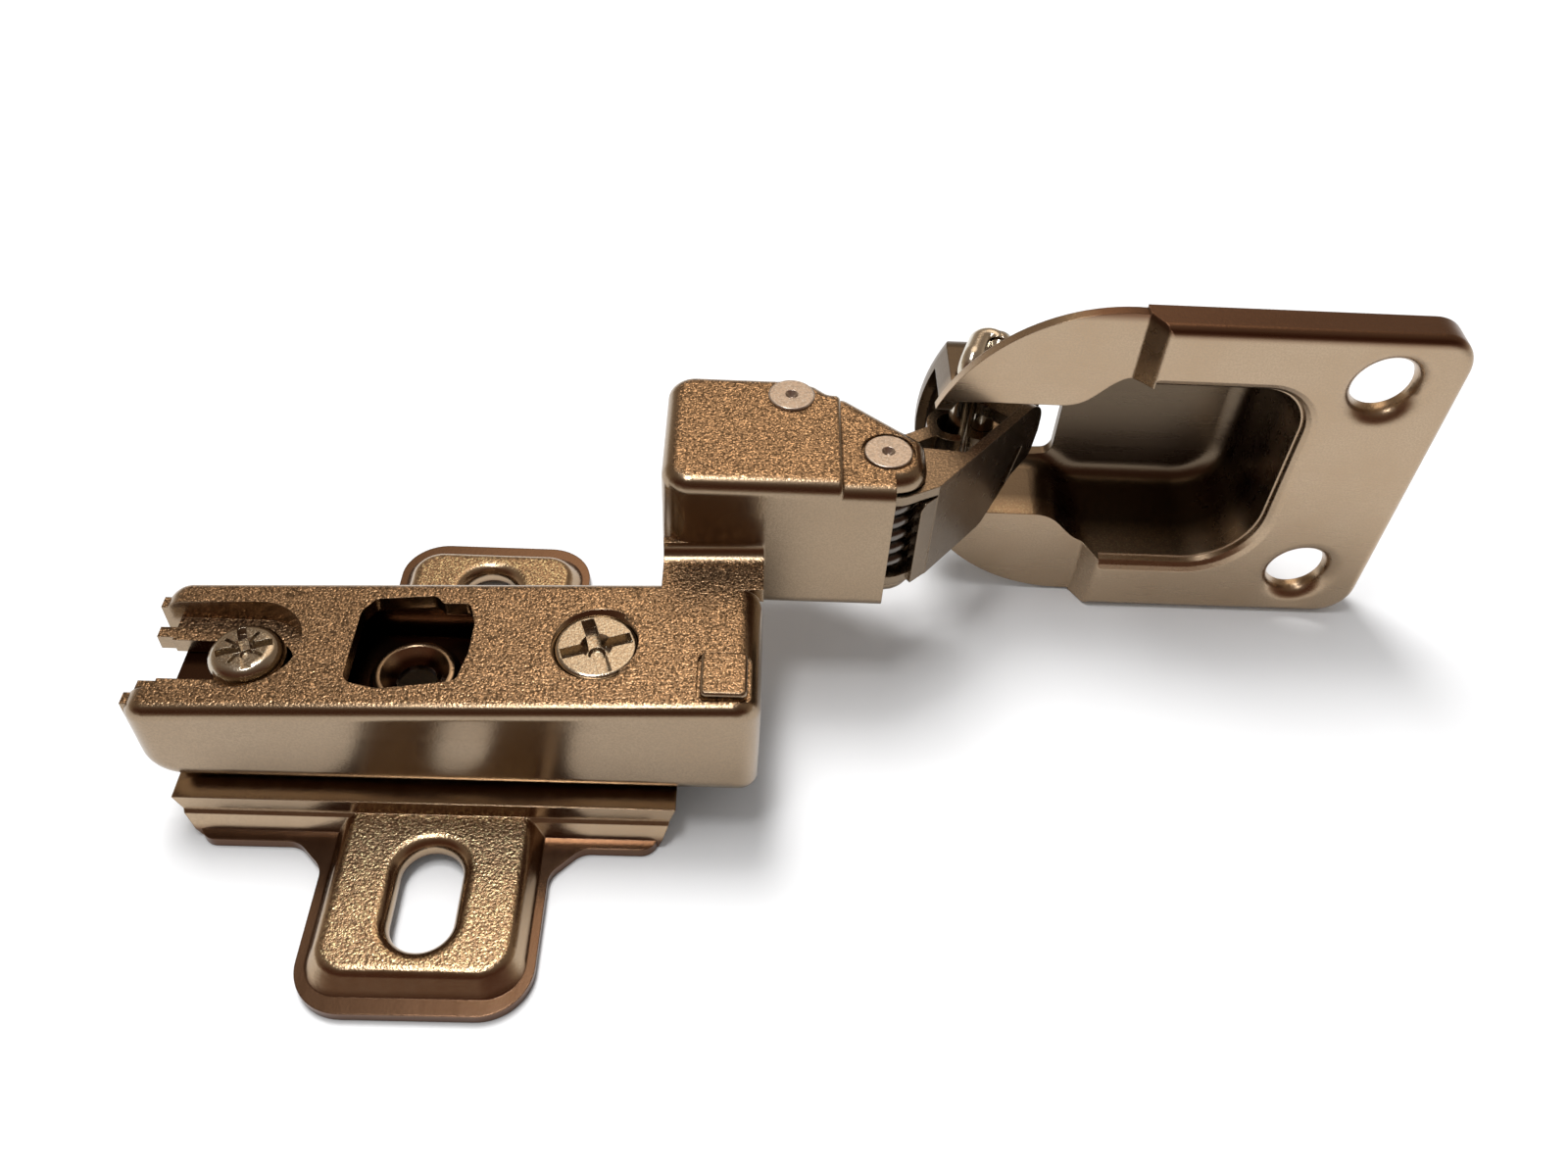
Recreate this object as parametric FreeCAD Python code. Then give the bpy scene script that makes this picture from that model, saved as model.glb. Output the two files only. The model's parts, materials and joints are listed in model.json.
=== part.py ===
import FreeCAD, Part
import math
import os

# Concealed cup hinge, open position, millimetres.
# X runs along the arm towards the cup, Y away from the viewer, Z up.
# The origin is the middle of the mounting plate on the surface it is screwed to.

# Sheet thicknesses
T_PLATE = 1.0
T_ARM = 1.5
T_LINK = 1.0
T_INNER = 1.5
T_CUP = 1.0

# Running clearance of round fits, and the reach of cutters that go right through
RUN = 0.05
FAR = 120.0
NEAR = 0.01

# Mounting plate: channel
CHANNEL_X0 = -22.4
CHANNEL_X1 = 20.0
CHANNEL_HALF = 5.25
CHANNEL_TOP = 10.8
CHANNEL_BEND_R = 0.9
SHELF_TOP = 4.2
SHELF_Y = 8.3
CREASE_Z = 2.75
CREASE_OUT = 0.45
FOOT_INSET = 1.0
END_SLANT = 6.0

# Mounting plate: low flange and wings
FLANGE_Y = 10.3
FLANGE_X0 = -20.5
FLANGE_X1 = 18.5
FLANGE_CORNER_R = 1.5
NECK_X = 12.0
NECK_Y = 12.8
NECK_ROUND = 2.0
WING_HALF_X = 9.5
WING_END_Y = 25.6
WING_CORNER_R = 4.3
PAD_TOP = 2.74
PAD_START_Y = 6.0
PAD_FOOT_X = 9.4
PAD_FOOT_Y = 25.0
PAD_FOOT_R = 3.5
PAD_CROWN_X = 7.7
PAD_CROWN_Y = 22.8
PAD_CROWN_R = 2.6
PAD_ROUND = 1.15

# Mounting plate: screw slots and the collars drawn down round them
SLOT_Y = 16.0
SLOT_HALF_LEN = 4.75
SLOT_HALF_W = 2.6
SLOT_ROUND = 1.2
COLLAR_TIP = 0.7
COLLAR_ROOT = 2.0
COLLAR_DROP = 0.6
COLLAR_RISE = 0.2

# Mounting plate: drawn boss seen through the arm's window
BOSS_X = -2.5
BOSS_R = 4.1
BOSS_TAPER = 0.7
BOSS_HOLE_R = 1.7
BOSS_FUNNEL = 1.2
BOSS_RISE = 0.9
BOSS_ROUND = 0.5

# Clamp screw
CLAMP_X = -16.2
CLAMP_HEAD_R = 3.15
CLAMP_HEAD_H = 1.8
CLAMP_DOME = 1.3
CLAMP_TIP_Z = 5.4
CLAMP_TIP_LEN = 0.8
SHANK_R = 1.95
STAR_WIDTH = 0.38
STAR_LENGTH = 2.3
STAR_DEPTH = 0.9
MARK_WIDTH = 0.16
MARK_LENGTH = 1.9
MARK_DEPTH = 0.45
RECESS_TURN = 20.0

# Adjusting screw; its neck runs in a fork in the plate between a collar and a foot
ADJ_X = 13.1
ADJ_R = 3.45
ADJ_TOP = 15.85
ADJ_HEAD_H = 1.75
ADJ_ROUND = 0.35
ADJ_RECESS_WIDTH = 0.55
ADJ_RECESS_LENGTH = 3.0
ADJ_RECESS_DEPTH = 1.1
ADJ_EASE = 0.5
NECK_R = 1.9
NECK_COLLAR_R = 2.9
NECK_COLLAR_H = 0.95
NECK_END_CLEAR = 0.15
NECK_FOOT_Z = 8.4
FORK_CLEAR = 0.1
FORK_ROOM = 1.5

# Arm: channel part
ARM_X0 = -24.6
ARM_X1 = 26.9
ARM_HALF = 7.26
ARM_BOTTOM = 4.8
ARM_TOP0 = 14.36
ARM_TOP1 = 16.75
ARM_BEND_R = 1.15
ARM_HEEL_R = 3.4
ARM_TOE_R = 1.0
ARM_END_R = 2.2

# Arm: open end that slips under the clamp screw's head
LIP_TOP = 12.4
LIP_UNDER = 10.9
TRAY_X1 = -9.9
TRAY_HALF = 4.65
TRAY_LOW = 0.7
WELL_X = CLAMP_X + 0.2
LIP_GAP = 2.1
LIP_GAP_X = CLAMP_X + 1.5
NOTCH_X = -23.2
NOTCHES = ((-TRAY_HALF, -3.5), (-2.4, 2.4), (3.5, TRAY_HALF))

# Arm: window over the plate's boss, as (x, y, corner radius)
WINDOW = [
    (-7.1, -4.0, 1.2), (-7.1, 3.6, 1.0), (-6.1, 5.0, 0.8), (-1.0, 5.35, 0.9), (-0.3, 4.45, 0.5),
    (2.0, 4.45, 0.6), (2.7, 2.2, 0.8), (2.7, -1.0, 0.8), (2.1, -4.0, 0.8), (-4.0, -4.8, 1.5),
]

# Arm: square peg pressed up inside a narrow groove
PEG_X0 = 21.9
PEG_X1 = 25.7
PEG_Y0 = -5.8
PEG_Y1 = -1.3
PEG_RISE = 0.55
PEG_CORNER = 0.5
PEG_ROUND = 0.3
PEG_GROOVE = 0.3
PEG_GROOVE_DEPTH = 0.45

# Pivot lines, all parallel to Z
R1 = (28.95, 22.6)
R2 = (37.45, 16.1)
PA = (45.21, 25.92)
PB = (48.0, 28.49)

# Arm: box for the links, set out from its front web and the two rivets
BOX_X0 = 17.8
BOX_FRONT = 10.55
BOX_BEHIND = 3.0
BOX_BACK = R1[1] + BOX_BEHIND
BOX_Z0 = 9.78
BOX_Z1 = 24.78
BOX_BESIDE = 8.95
BOX_RIGHT = R1[0] + BOX_BESIDE
BOX_BEND_R = 1.4
BOX_CORNER = 2.6
BOX_BACK_CORNER = 2.5
BOX_INNER_CORNER = 0.4
BOX_STEP = 0.5
BOX_STEP_GAP = 4.45
BOX_STEP_X = R1[0] + BOX_STEP_GAP
BOX_STEP_ROUND = 0.45
RING_R = 2.4
RING_DEPTH = 0.45
BRIDGE_INSET = 0.3
BRIDGE_COVE = 1.3
LOBE_RISE = 0.25

# Arm: corners of the box's flanges, as (x, y, corner radius), from the outer and from the inner rivet
LOBE = [(3.45, -3.2, 2.8), (3.45, 1.9, 1.6)]
BACK_EDGE = [(5.05, 1.2, 1.2), (3.45, 1.3, 0.6), (2.35, 2.3, 0.8), (0.55, BOX_BEHIND, 1.0)]

# Rivets
RIVET_R = 1.5
RIVET_FOOT_H = 0.4
RIVET_ROUND = 0.15
RIVET_DIMPLE_R = 0.6
RIVET_DIMPLE_DEPTH = 0.5
INNER_HEAD_R = 2.1
INNER_PROUD = 0.28
OUTER_HEAD_R = 2.15
OUTER_PROUD = 0.05

# Outer link, in its own axes: along from the outer rivet to the far pin, across, and up
LINK_LEN = math.hypot(PB[0] - R2[0], PB[1] - R2[1])
LINK_CLEAR = 0.28
LINK_Z0 = BOX_Z0 + T_ARM + LINK_CLEAR
LINK_Z1 = BOX_Z1 - BOX_STEP - T_ARM - LINK_CLEAR
LINK_FACE = 5.0
EAR_R = 3.2
EAR_REACH = 7.3
EAR_CORNER = 3.0
EAR_FRONT_CORNER = 2.6
EAR_BEND_CORNER = 0.5
EAR_FLANK = (3.6, 0.2, 1.0)
WEB_START = 1.2
WEB_OVER = 2.03
WEB_END = LINK_LEN + WEB_OVER
WEB_LOWER = [(10.2, 0.0, 2.0), (13.4, 2.6, 1.0), (14.6, 3.6, 0.6), (17.6, 4.3, 1.2)]
WEB_LOW_END = 7.0
WEB_CORNER = 0.6
WEB_END_CORNERS = (1.5, 2.6)
WEB_SLOT = [(12.5, 2.9, 0.3), (13.8, 2.9, 0.5), (15.8, 6.8, 0.3), (14.5, 6.8, 0.5)]
LIP_PLAN = [(-0.75, 0.3), (-0.55, 1.05), (1.5, 0.9), (1.5, 0.0)]
LIP_DROP = 1.3
LIP_ROUND = 0.9
EYE_R = 2.3
EYE_H = 1.3
EYE_LEVELS = (16.2, 20.4)
EYE_SIDE = 2.0

# Inner link: an eye on the inner rivet, a bent bar and an open cradle round the near pin
INNER_Z0 = 13.7
INNER_Z1 = 19.7
INNER_EYE_R = 2.8
INNER_KNEE_X = 39.0
INNER_KNEE_SHIFT = 0.15
INNER_KNEE_R = 2.2
CRADLE = (44.62, 25.8)
CRADLE_R = 1.57
CRADLE_WALL = 0.95
CRADLE_TIP = 45.2

# Torsion spring round the outer rivet
SPRING_WIRE_R = 0.7
SPRING_COIL_R = 2.85
SPRING_TURNS = 4
SPRING_CLEAR = 0.3
SPRING_PITCH = 1.62
SPRING_LOW_LEG = 6.0
SPRING_HIGH_LEG = 2.0

# Cup: placed by the middle of its front face's step
CUP_X = 59.8
CUP_Y = 21.0
CUP_Z = 17.45

# Cup: flange and disc, in its own axes (u along the flange, w up, depth)
CUP_HALF = 17.4
CUP_PLATE_U = 28.5
CUP_CORNER = 3.6
CUP_EDGE_R = 0.95
CUP_RIM_V = 3.5
CUP_STEP = 2.35
STEP_U0 = -0.45
STEP_U1 = 1.05
STEP_FOOT_R = 0.5
STEP_HEAD_R = 0.8
DISC_U = -1.37
DISC_R = 17.2

# Cup: screw holes, set in from the flange's edges
SCREW_EDGE_U = 6.8
SCREW_EDGE_W = 5.7
CUP_SCREW_U = CUP_PLATE_U - SCREW_EDGE_U
CUP_SCREW_W = CUP_HALF - SCREW_EDGE_W
CUP_SCREW_R = 2.85
CUP_SCREW_ROUND = 1.6
CUP_BOSS_ROOT = 2.4
CUP_BOSS_TIP = 1.0

# Cup: pocket
CUP_DEPTH = 12.2
WALL_R = 16.8
NARROW = 6.9
WIDE = 10.9
WIDE_FLOOR = 8.9
WAIST_U0 = -6.0
WAIST_U1 = 0.6
POCKET_U = 16.0
POCKET_U_FLOOR = 14.6
POCKET_CORNERS = (4.7, 6.6)
FLOOR_CORNERS = (3.4, 5.0)
FLOOR_ROUND = 2.0
MOUTH_FLARE = 1.1
MOUTH_CURVE = ((-0.02, 1.0), (0.25, 0.5), (0.6, 0.15), (1.1, 0.0))

# Cup: way in for the links through the disc's side, and window in the floor for the outer link
WAY_U = -10.0
WAY_UP = 5.9
WAY_DOWN = 5.7
WAY_DEPTH = 8.5
FLOOR_SLOT_U0 = -12.8
FLOOR_SLOT_U1 = -3.2
FLOOR_SLOT_HALF = 6.2
FLOOR_SLOT_CORNER = 1.0
FLOOR_SLOT_DEPTH = 4.0

# U-shaped pin of the cup
PIN_R = 1.1
PIN_FIT = 0.02
PIN_HEADING = (0.35, 0.937)
PIN_REACH = 3.6
PIN_KNEE_R = 1.3
PIN_LIFT = 0.2
PIN_FOOT = 0.5

UP = FreeCAD.Vector(0, 0, 1)


def v(x, y, z=0.0):
    return FreeCAD.Vector(x, y, z)


ORIGIN = v(0, 0, 0)
ALONG_X = v(1, 0, 0)
ALONG_Y = v(0, 1, 0)


def block(x0, x1, y0, y1, z0, z1):
    return Part.makeBox(x1 - x0, y1 - y0, z1 - z0, v(x0, y0, z0))


def cyl(r, x, y, z0, z1):
    return Part.makeCylinder(r, z1 - z0, v(x, y, z0))


def cone(r0, r1, x, y, z0, z1):
    return Part.makeCone(r0, r1, z1 - z0, v(x, y, z0))


def bore(r, x, y):
    return cyl(r, x, y, -FAR, FAR)


def outline(points, z=0.0):
    """Closed outline; each point is (x, y) or (x, y, corner radius)."""
    n = len(points)
    edges = []
    joints = []
    for i in range(n):
        p = points[i]
        radius = p[2] if len(p) > 2 else 0.0
        here = v(p[0], p[1], z)
        if radius <= 0:
            joints.append((here, None, here))
            continue
        before = points[i - 1]
        after = points[(i + 1) % n]
        a = v(before[0], before[1], z).sub(here)
        b = v(after[0], after[1], z).sub(here)
        a.normalize()
        b.normalize()
        half = a.getAngle(b) / 2
        back = radius / math.tan(half)
        start = here.add(v(a.x * back, a.y * back))
        end = here.add(v(b.x * back, b.y * back))
        mid = a.add(b)
        mid.normalize()
        reach = radius / math.sin(half)
        centre = here.add(v(mid.x * reach, mid.y * reach))
        on_arc = centre.sub(v(mid.x * radius, mid.y * radius))
        joints.append((start, on_arc, end))
    for i in range(n):
        start, on_arc, end = joints[i]
        if on_arc is not None:
            edges.append(Part.Arc(start, on_arc, end).toShape())
        following = joints[(i + 1) % n][0]
        if end.distanceToPoint(following) > 1e-4:
            edges.append(Part.makeLine(end, following))
    return Part.Wire(Part.__sortEdges__(edges))


def prism(points, z0, z1):
    return Part.Face(outline(points, z0)).extrude(v(0, 0, z1 - z0))


def frustum(points0, z0, points1, z1):
    return Part.makeLoft([outline(points0, z0), outline(points1, z1)], True, True)


def rect(x0, x1, y0, y1, r=0.0):
    return [(x0, y0, r), (x1, y0, r), (x1, y1, r), (x0, y1, r)]


def prism_y(points, y0, y1):
    """Prism of an X-Z outline along Y."""
    shape = prism(points, 0, y1 - y0)
    shape.rotate(ORIGIN, ALONG_X, 90)
    shape.translate(v(0, y1, 0))
    return shape


def round_edges(shape, radius, test):
    edges = [e for e in shape.Edges if test(e)]
    return shape.makeFillet(radius, edges) if edges else shape


def at_height(edge, z):
    return abs(edge.CenterOfMass.z - z) < NEAR


def slot_points(y, grow):
    half_w = SLOT_HALF_W + grow
    half_len = SLOT_HALF_LEN + grow
    return rect(-half_w, half_w, y - half_len, y + half_len, half_w - NEAR)


def cross_recess(x, y, top, width, length, depth, turn):
    a = block(x - length, x + length, y - width, y + width, top - depth, FAR)
    b = block(x - width, x + width, y - length, y + length, top - depth, FAR)
    tip = cone(width, length * 0.45, x, y, top - depth * 1.3, top + NEAR)
    cut = a.fuse([b, tip])
    cut.rotate(v(x, y, top), UP, turn)
    return cut


def star_recess(x, y, top):
    """Cross recess with four finer marks between its arms."""
    star = cross_recess(x, y, top, STAR_WIDTH, STAR_LENGTH, STAR_DEPTH, RECESS_TURN)
    marks = cross_recess(x, y, top, MARK_WIDTH, MARK_LENGTH, MARK_DEPTH, RECESS_TURN + 45)
    return star.fuse(marks)


# Mounting plate: one pressing with a raised channel and two wings
def channel_profile(drop):
    """Half outline of the channel across X, as (y, z) points from floor to crown."""
    return [
        (FLANGE_Y - FOOT_INSET - drop, 0.0),
        (FLANGE_Y - FOOT_INSET - drop, T_PLATE - drop),
        (SHELF_Y + CREASE_OUT - drop, CREASE_Z - CREASE_OUT / 2 - drop),
        (SHELF_Y + CREASE_OUT / 4 - drop, CREASE_Z - drop),
        (SHELF_Y - drop, SHELF_TOP - drop),
        (CHANNEL_HALF - drop, SHELF_TOP - drop),
        (CHANNEL_HALF - drop, CHANNEL_TOP - drop),
    ]


def channel_solid(drop, x0, x1):
    half = channel_profile(drop)
    ring = half + [(-y, z) for y, z in reversed(half)]
    points = [v(x0, y, z) for y, z in ring]
    return Part.Face(Part.makePolygon(points + [points[0]])).extrude(v(x1 - x0, 0, 0))


def low_flange():
    """Flat sheet of the channel's foot and both wings."""
    right = [
        (FLANGE_X1, FLANGE_Y, FLANGE_CORNER_R), (NECK_X, FLANGE_Y, NECK_ROUND), (WING_HALF_X, NECK_Y, NECK_ROUND),
        (WING_HALF_X, WING_END_Y, WING_CORNER_R),
    ]
    left = [(-x, y, r) for x, y, r in reversed(right[1:])]
    upper = right + left + [(FLANGE_X0, FLANGE_Y, FLANGE_CORNER_R)]
    lower = [(x, -y, r) for x, y, r in reversed(upper)]
    return prism(upper + lower, 0.0, T_PLATE)


def wing_pad(side, grow, z0, z1, start_y):
    """Tapered pad of a wing, larger at the foot than at the crown."""
    foot_x = PAD_FOOT_X + grow
    crown_x = PAD_CROWN_X + grow
    foot = rect(-foot_x, foot_x, start_y, PAD_FOOT_Y + grow, PAD_FOOT_R)
    crown = rect(-crown_x, crown_x, start_y, PAD_CROWN_Y + grow, PAD_CROWN_R)
    pad = frustum(foot, z0, crown, z1)
    return pad if side > 0 else pad.mirror(ORIGIN, ALONG_Y)


def slot_edge(edge):
    """Upper edges of the two screw slots."""
    centre = edge.CenterOfMass
    near_y = abs(abs(centre.y) - SLOT_Y) < SLOT_HALF_LEN + NEAR
    return near_y and abs(centre.x) < SLOT_HALF_W + NEAR and at_height(edge, PAD_TOP)


def mounting_plate():
    body = channel_solid(0.0, CHANNEL_X0, CHANNEL_X1)
    body = round_edges(body, CHANNEL_BEND_R, lambda e: at_height(e, CHANNEL_TOP) and abs(e.CenterOfMass.y) > NEAR)
    body = body.fuse(low_flange())
    for side in (1, -1):
        pad = wing_pad(side, 0.0, 0.0, PAD_TOP, PAD_START_Y)
        pad = round_edges(pad, PAD_ROUND, lambda e: at_height(e, PAD_TOP) and abs(e.CenterOfMass.y) > PAD_START_Y + NEAR)
        body = body.fuse(pad)
    for side in (1, -1):
        body = body.cut(wing_pad(side, -T_PLATE, -NEAR / 10, PAD_TOP - T_PLATE, PAD_START_Y - T_PLATE / 2))
    body = body.cut(channel_solid(T_PLATE, CHANNEL_X0 - 1, CHANNEL_X1 + 1))
    for x0, foot, out in ((CHANNEL_X0, FLANGE_X0, -1), (CHANNEL_X1, FLANGE_X1, 1)):
        slant = [(x0, SHELF_TOP), (foot, 0.0), (foot + out * END_SLANT, -1.0), (x0 + out * END_SLANT, SHELF_TOP)]
        body = body.cut(prism_y(slant, -FAR, FAR))
    limit = PAD_CROWN_X - T_PLATE / 2
    for y in (-SLOT_Y, SLOT_Y):
        collar = frustum(slot_points(y, COLLAR_TIP), PAD_TOP - T_PLATE - COLLAR_DROP,
                         slot_points(y, COLLAR_ROOT), PAD_TOP - COLLAR_RISE)
        body = body.fuse(collar.common(block(-limit, limit, -FAR, FAR, 0, PAD_TOP)))
        body = body.cut(prism(slot_points(y, 0.0), -FAR, FAR))
    body = round_edges(body, SLOT_ROUND, slot_edge)
    crown = CHANNEL_TOP + BOSS_RISE
    boss = cone(BOSS_R, BOSS_R - BOSS_TAPER, BOSS_X, 0, CHANNEL_TOP - T_PLATE / 2, crown)
    boss = round_edges(boss, BOSS_ROUND, lambda e: at_height(e, crown))
    body = body.fuse(boss).cut(bore(BOSS_HOLE_R, BOSS_X, 0))
    body = body.cut(cone(BOSS_HOLE_R, BOSS_HOLE_R + BOSS_FUNNEL, BOSS_X, 0, crown - BOSS_FUNNEL, crown))
    body = body.cut(bore(SHANK_R + RUN, CLAMP_X, 0))
    half = NECK_R + FORK_CLEAR
    root = ADJ_X - NECK_R - FORK_ROOM
    fork = [(root, -half, half - 0.1), (FAR, -half), (FAR, half), (root, half, half - 0.1)]
    body = body.cut(prism(fork, SHELF_TOP, FAR))
    return body.removeSplitter()


def clamp_screw():
    top = LIP_TOP + CLAMP_HEAD_H
    head = cyl(CLAMP_HEAD_R, CLAMP_X, 0, LIP_TOP, top)
    head = round_edges(head, CLAMP_DOME, lambda e: at_height(e, top))
    shoulder = CLAMP_TIP_Z + CLAMP_TIP_LEN
    shank = cyl(SHANK_R, CLAMP_X, 0, shoulder, LIP_TOP + RUN)
    tip = cone(SHANK_R - CLAMP_TIP_LEN * 0.75, SHANK_R, CLAMP_X, 0, CLAMP_TIP_Z, shoulder)
    screw = head.fuse([shank, tip]).cut(star_recess(CLAMP_X, 0, top))
    return screw.removeSplitter()


def adjusting_screw():
    head_z0 = ADJ_TOP - ADJ_HEAD_H
    head = cyl(ADJ_R, ADJ_X, 0, head_z0, ADJ_TOP)
    head = round_edges(head, ADJ_ROUND, lambda e: at_height(e, ADJ_TOP))
    neck = cyl(NECK_R, ADJ_X, 0, NECK_FOOT_Z, head_z0 + RUN)
    collar_z0 = CHANNEL_TOP + NECK_END_CLEAR
    collar = cyl(NECK_COLLAR_R, ADJ_X, 0, collar_z0, collar_z0 + NECK_COLLAR_H)
    foot = cyl(NECK_COLLAR_R, ADJ_X, 0, NECK_FOOT_Z, CHANNEL_TOP - T_PLATE - NECK_END_CLEAR)
    screw = head.fuse([neck, collar, foot])
    screw = screw.cut(cross_recess(
        ADJ_X, 0, ADJ_TOP, ADJ_RECESS_WIDTH, ADJ_RECESS_LENGTH, ADJ_RECESS_DEPTH, RECESS_TURN))
    return screw.removeSplitter()


# Arm: one stamping with a channel part and a box part for the links
def arm_top(x):
    return ARM_TOP0 + (ARM_TOP1 - ARM_TOP0) * (x - ARM_X0) / (ARM_X1 - ARM_X0)


def crown_edge(edge):
    """Long upper edges of the channel part."""
    on_side = abs(abs(edge.CenterOfMass.y) - ARM_HALF) < NEAR
    return on_side and edge.CenterOfMass.z > ARM_TOP0 and edge.BoundBox.XLength > (ARM_X1 - ARM_X0) / 2


def end_edge(edge):
    """Upright edges at the channel part's end."""
    height = ARM_TOP1 - ARM_BOTTOM
    return abs(edge.CenterOfMass.x - ARM_X1) < NEAR and edge.BoundBox.ZLength > height / 2


def arm_channel():
    side = [(ARM_X0, ARM_BOTTOM, ARM_HEEL_R), (ARM_X1, ARM_BOTTOM, ARM_TOE_R), (ARM_X1, ARM_TOP1), (ARM_X0, ARM_TOP0)]
    outer = round_edges(prism_y(side, -ARM_HALF, ARM_HALF), ARM_BEND_R, crown_edge)
    outer = round_edges(outer, ARM_END_R, end_edge)
    end = ARM_X1 - T_ARM
    wall = ARM_HALF - T_ARM
    hollow = prism_y(
        [(ARM_X0 - 1, ARM_BOTTOM - 1), (end, ARM_BOTTOM - 1), (end, ARM_TOP1 - T_ARM), (ARM_X0 - 1, ARM_TOP0 - T_ARM)],
        -wall, wall)
    seat = block(ARM_X0, TRAY_X1, -wall - RUN, wall + RUN, LIP_UNDER, ARM_TOP0 - TRAY_LOW)
    arm = outer.cut(hollow).fuse(seat)
    well = cyl(TRAY_HALF, WELL_X, 0, LIP_TOP, FAR)
    arm = arm.cut(well.fuse(block(ARM_X0 - 1, WELL_X, -TRAY_HALF, TRAY_HALF, LIP_TOP, FAR)))
    gap = bore(LIP_GAP, LIP_GAP_X, 0)
    arm = arm.cut(gap.fuse(block(ARM_X0 - 1, LIP_GAP_X, -LIP_GAP, LIP_GAP, 0, FAR)))
    for y0, y1 in NOTCHES:
        arm = arm.cut(block(ARM_X0 - 1, NOTCH_X, y0, y1, LIP_UNDER - 1, FAR))
    return arm


def flange_outline():
    """Plan of a flange of the box, with the lobe round the outer rivet."""
    front = [
        (BOX_X0, BOX_FRONT, BOX_CORNER), (BOX_RIGHT, BOX_FRONT), (BOX_RIGHT, BOX_FRONT + T_ARM + LOBE_RISE),
    ]
    lobe = [(R2[0] + x, R2[1] + y, r) for x, y, r in LOBE]
    back = [(R1[0] + x, R1[1] + y, r) for x, y, r in BACK_EDGE]
    return front + lobe + back + [(BOX_X0, BOX_BACK, BOX_BACK_CORNER)]


def front_bend(edge):
    """Long edges along the front web of the box."""
    return abs(edge.CenterOfMass.y - BOX_FRONT) < NEAR and edge.BoundBox.XLength > (BOX_RIGHT - BOX_X0) / 2


def step_edge(edge):
    """Upper edge of the step across the top flange."""
    long_enough = edge.BoundBox.YLength > (BOX_BACK - BOX_FRONT) / 3
    return edge.CenterOfMass.x > BOX_STEP_X - NEAR and edge.CenterOfMass.z > BOX_Z1 - NEAR and long_enough


def arm_box():
    """Box open at the back; past the step its upper flange lies lower, and both carry the lobes."""
    plan = flange_outline()
    low_top = BOX_Z1 - BOX_STEP
    before_step = block(BOX_X0 - 1, BOX_STEP_X, 0, FAR, 0, FAR)
    low = round_edges(prism(plan, BOX_Z0, low_top), BOX_BEND_R, front_bend)
    high = round_edges(prism(plan, BOX_Z0, BOX_Z1).common(before_step), BOX_BEND_R, front_bend)
    high = round_edges(high, BOX_STEP_ROUND, step_edge)
    left = BOX_X0 + T_ARM
    front = BOX_FRONT + T_ARM
    inner = [(left, front, BOX_INNER_CORNER), (FAR, front), (FAR, FAR), (left, FAR)]
    wide = prism(inner, BOX_Z0 + T_ARM, BOX_Z1 - T_ARM).common(before_step)
    slim = prism(inner, BOX_Z0 + T_ARM, low_top - T_ARM)
    box = high.fuse(low).cut(wide.fuse(slim))
    box = box.cut(block(BOX_X0 - 1, left, R1[1], FAR, BOX_Z0 + T_ARM, BOX_Z1 - T_ARM))
    for x, y in (R1, R2):
        box = box.cut(bore(RIVET_R, x, y))
    return box.cut(cyl(RING_R, R2[0], R2[1], low_top - RING_DEPTH, FAR))


def arm_bridge():
    """Sheet from the channel's crown back to the box's front web, with a hollow curve at the web."""
    left = BOX_X0 + BRIDGE_INSET
    span = ARM_X1 - left
    reach = BOX_FRONT + T_ARM / 2
    bridge = block(0, span, ARM_HALF - ARM_BEND_R - NEAR, reach, -T_ARM, 0)
    cove = block(0, span, BOX_FRONT - BRIDGE_COVE, reach, -T_ARM / 2, BRIDGE_COVE)
    roll = Part.makeCylinder(BRIDGE_COVE, 2 * span, v(-span / 2, BOX_FRONT - BRIDGE_COVE, BRIDGE_COVE), ALONG_X)
    bridge = bridge.fuse(cove.cut(roll))
    slope = math.degrees(math.atan2(ARM_TOP1 - ARM_TOP0, ARM_X1 - ARM_X0))
    bridge.rotate(ORIGIN, ALONG_Y, -slope)
    bridge.translate(v(left, 0, arm_top(left)))
    return bridge


def arm_peg():
    """Groove to cut and peg to add, as two solids."""
    seat = arm_top((PEG_X0 + PEG_X1) / 2)
    top = seat + PEG_RISE
    g = PEG_GROOVE
    groove = prism(rect(PEG_X0 - g, PEG_X1 + g, PEG_Y0 - g, PEG_Y1 + g, PEG_CORNER + g), seat - PEG_GROOVE_DEPTH, FAR)
    peg = prism(rect(PEG_X0, PEG_X1, PEG_Y0, PEG_Y1, PEG_CORNER), seat - T_ARM * 0.8, top)
    return groove, round_edges(peg, PEG_ROUND, lambda e: at_height(e, top))


def hinge_arm():
    arm = arm_channel().fuse([arm_bridge(), arm_box()])
    window_z = ARM_TOP0 - T_ARM - 1
    arm = arm.cut(prism(WINDOW, window_z, FAR))
    top = arm_top(ADJ_X)
    arm = arm.cut(cyl(ADJ_R + RUN, ADJ_X, 0, window_z, FAR))
    arm = arm.cut(cone(ADJ_R + RUN, ADJ_R + ADJ_EASE, ADJ_X, 0, top - ADJ_EASE, top + RUN * 2))
    groove, peg = arm_peg()
    arm = arm.cut(groove).fuse(peg)
    return arm.removeSplitter()


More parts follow.
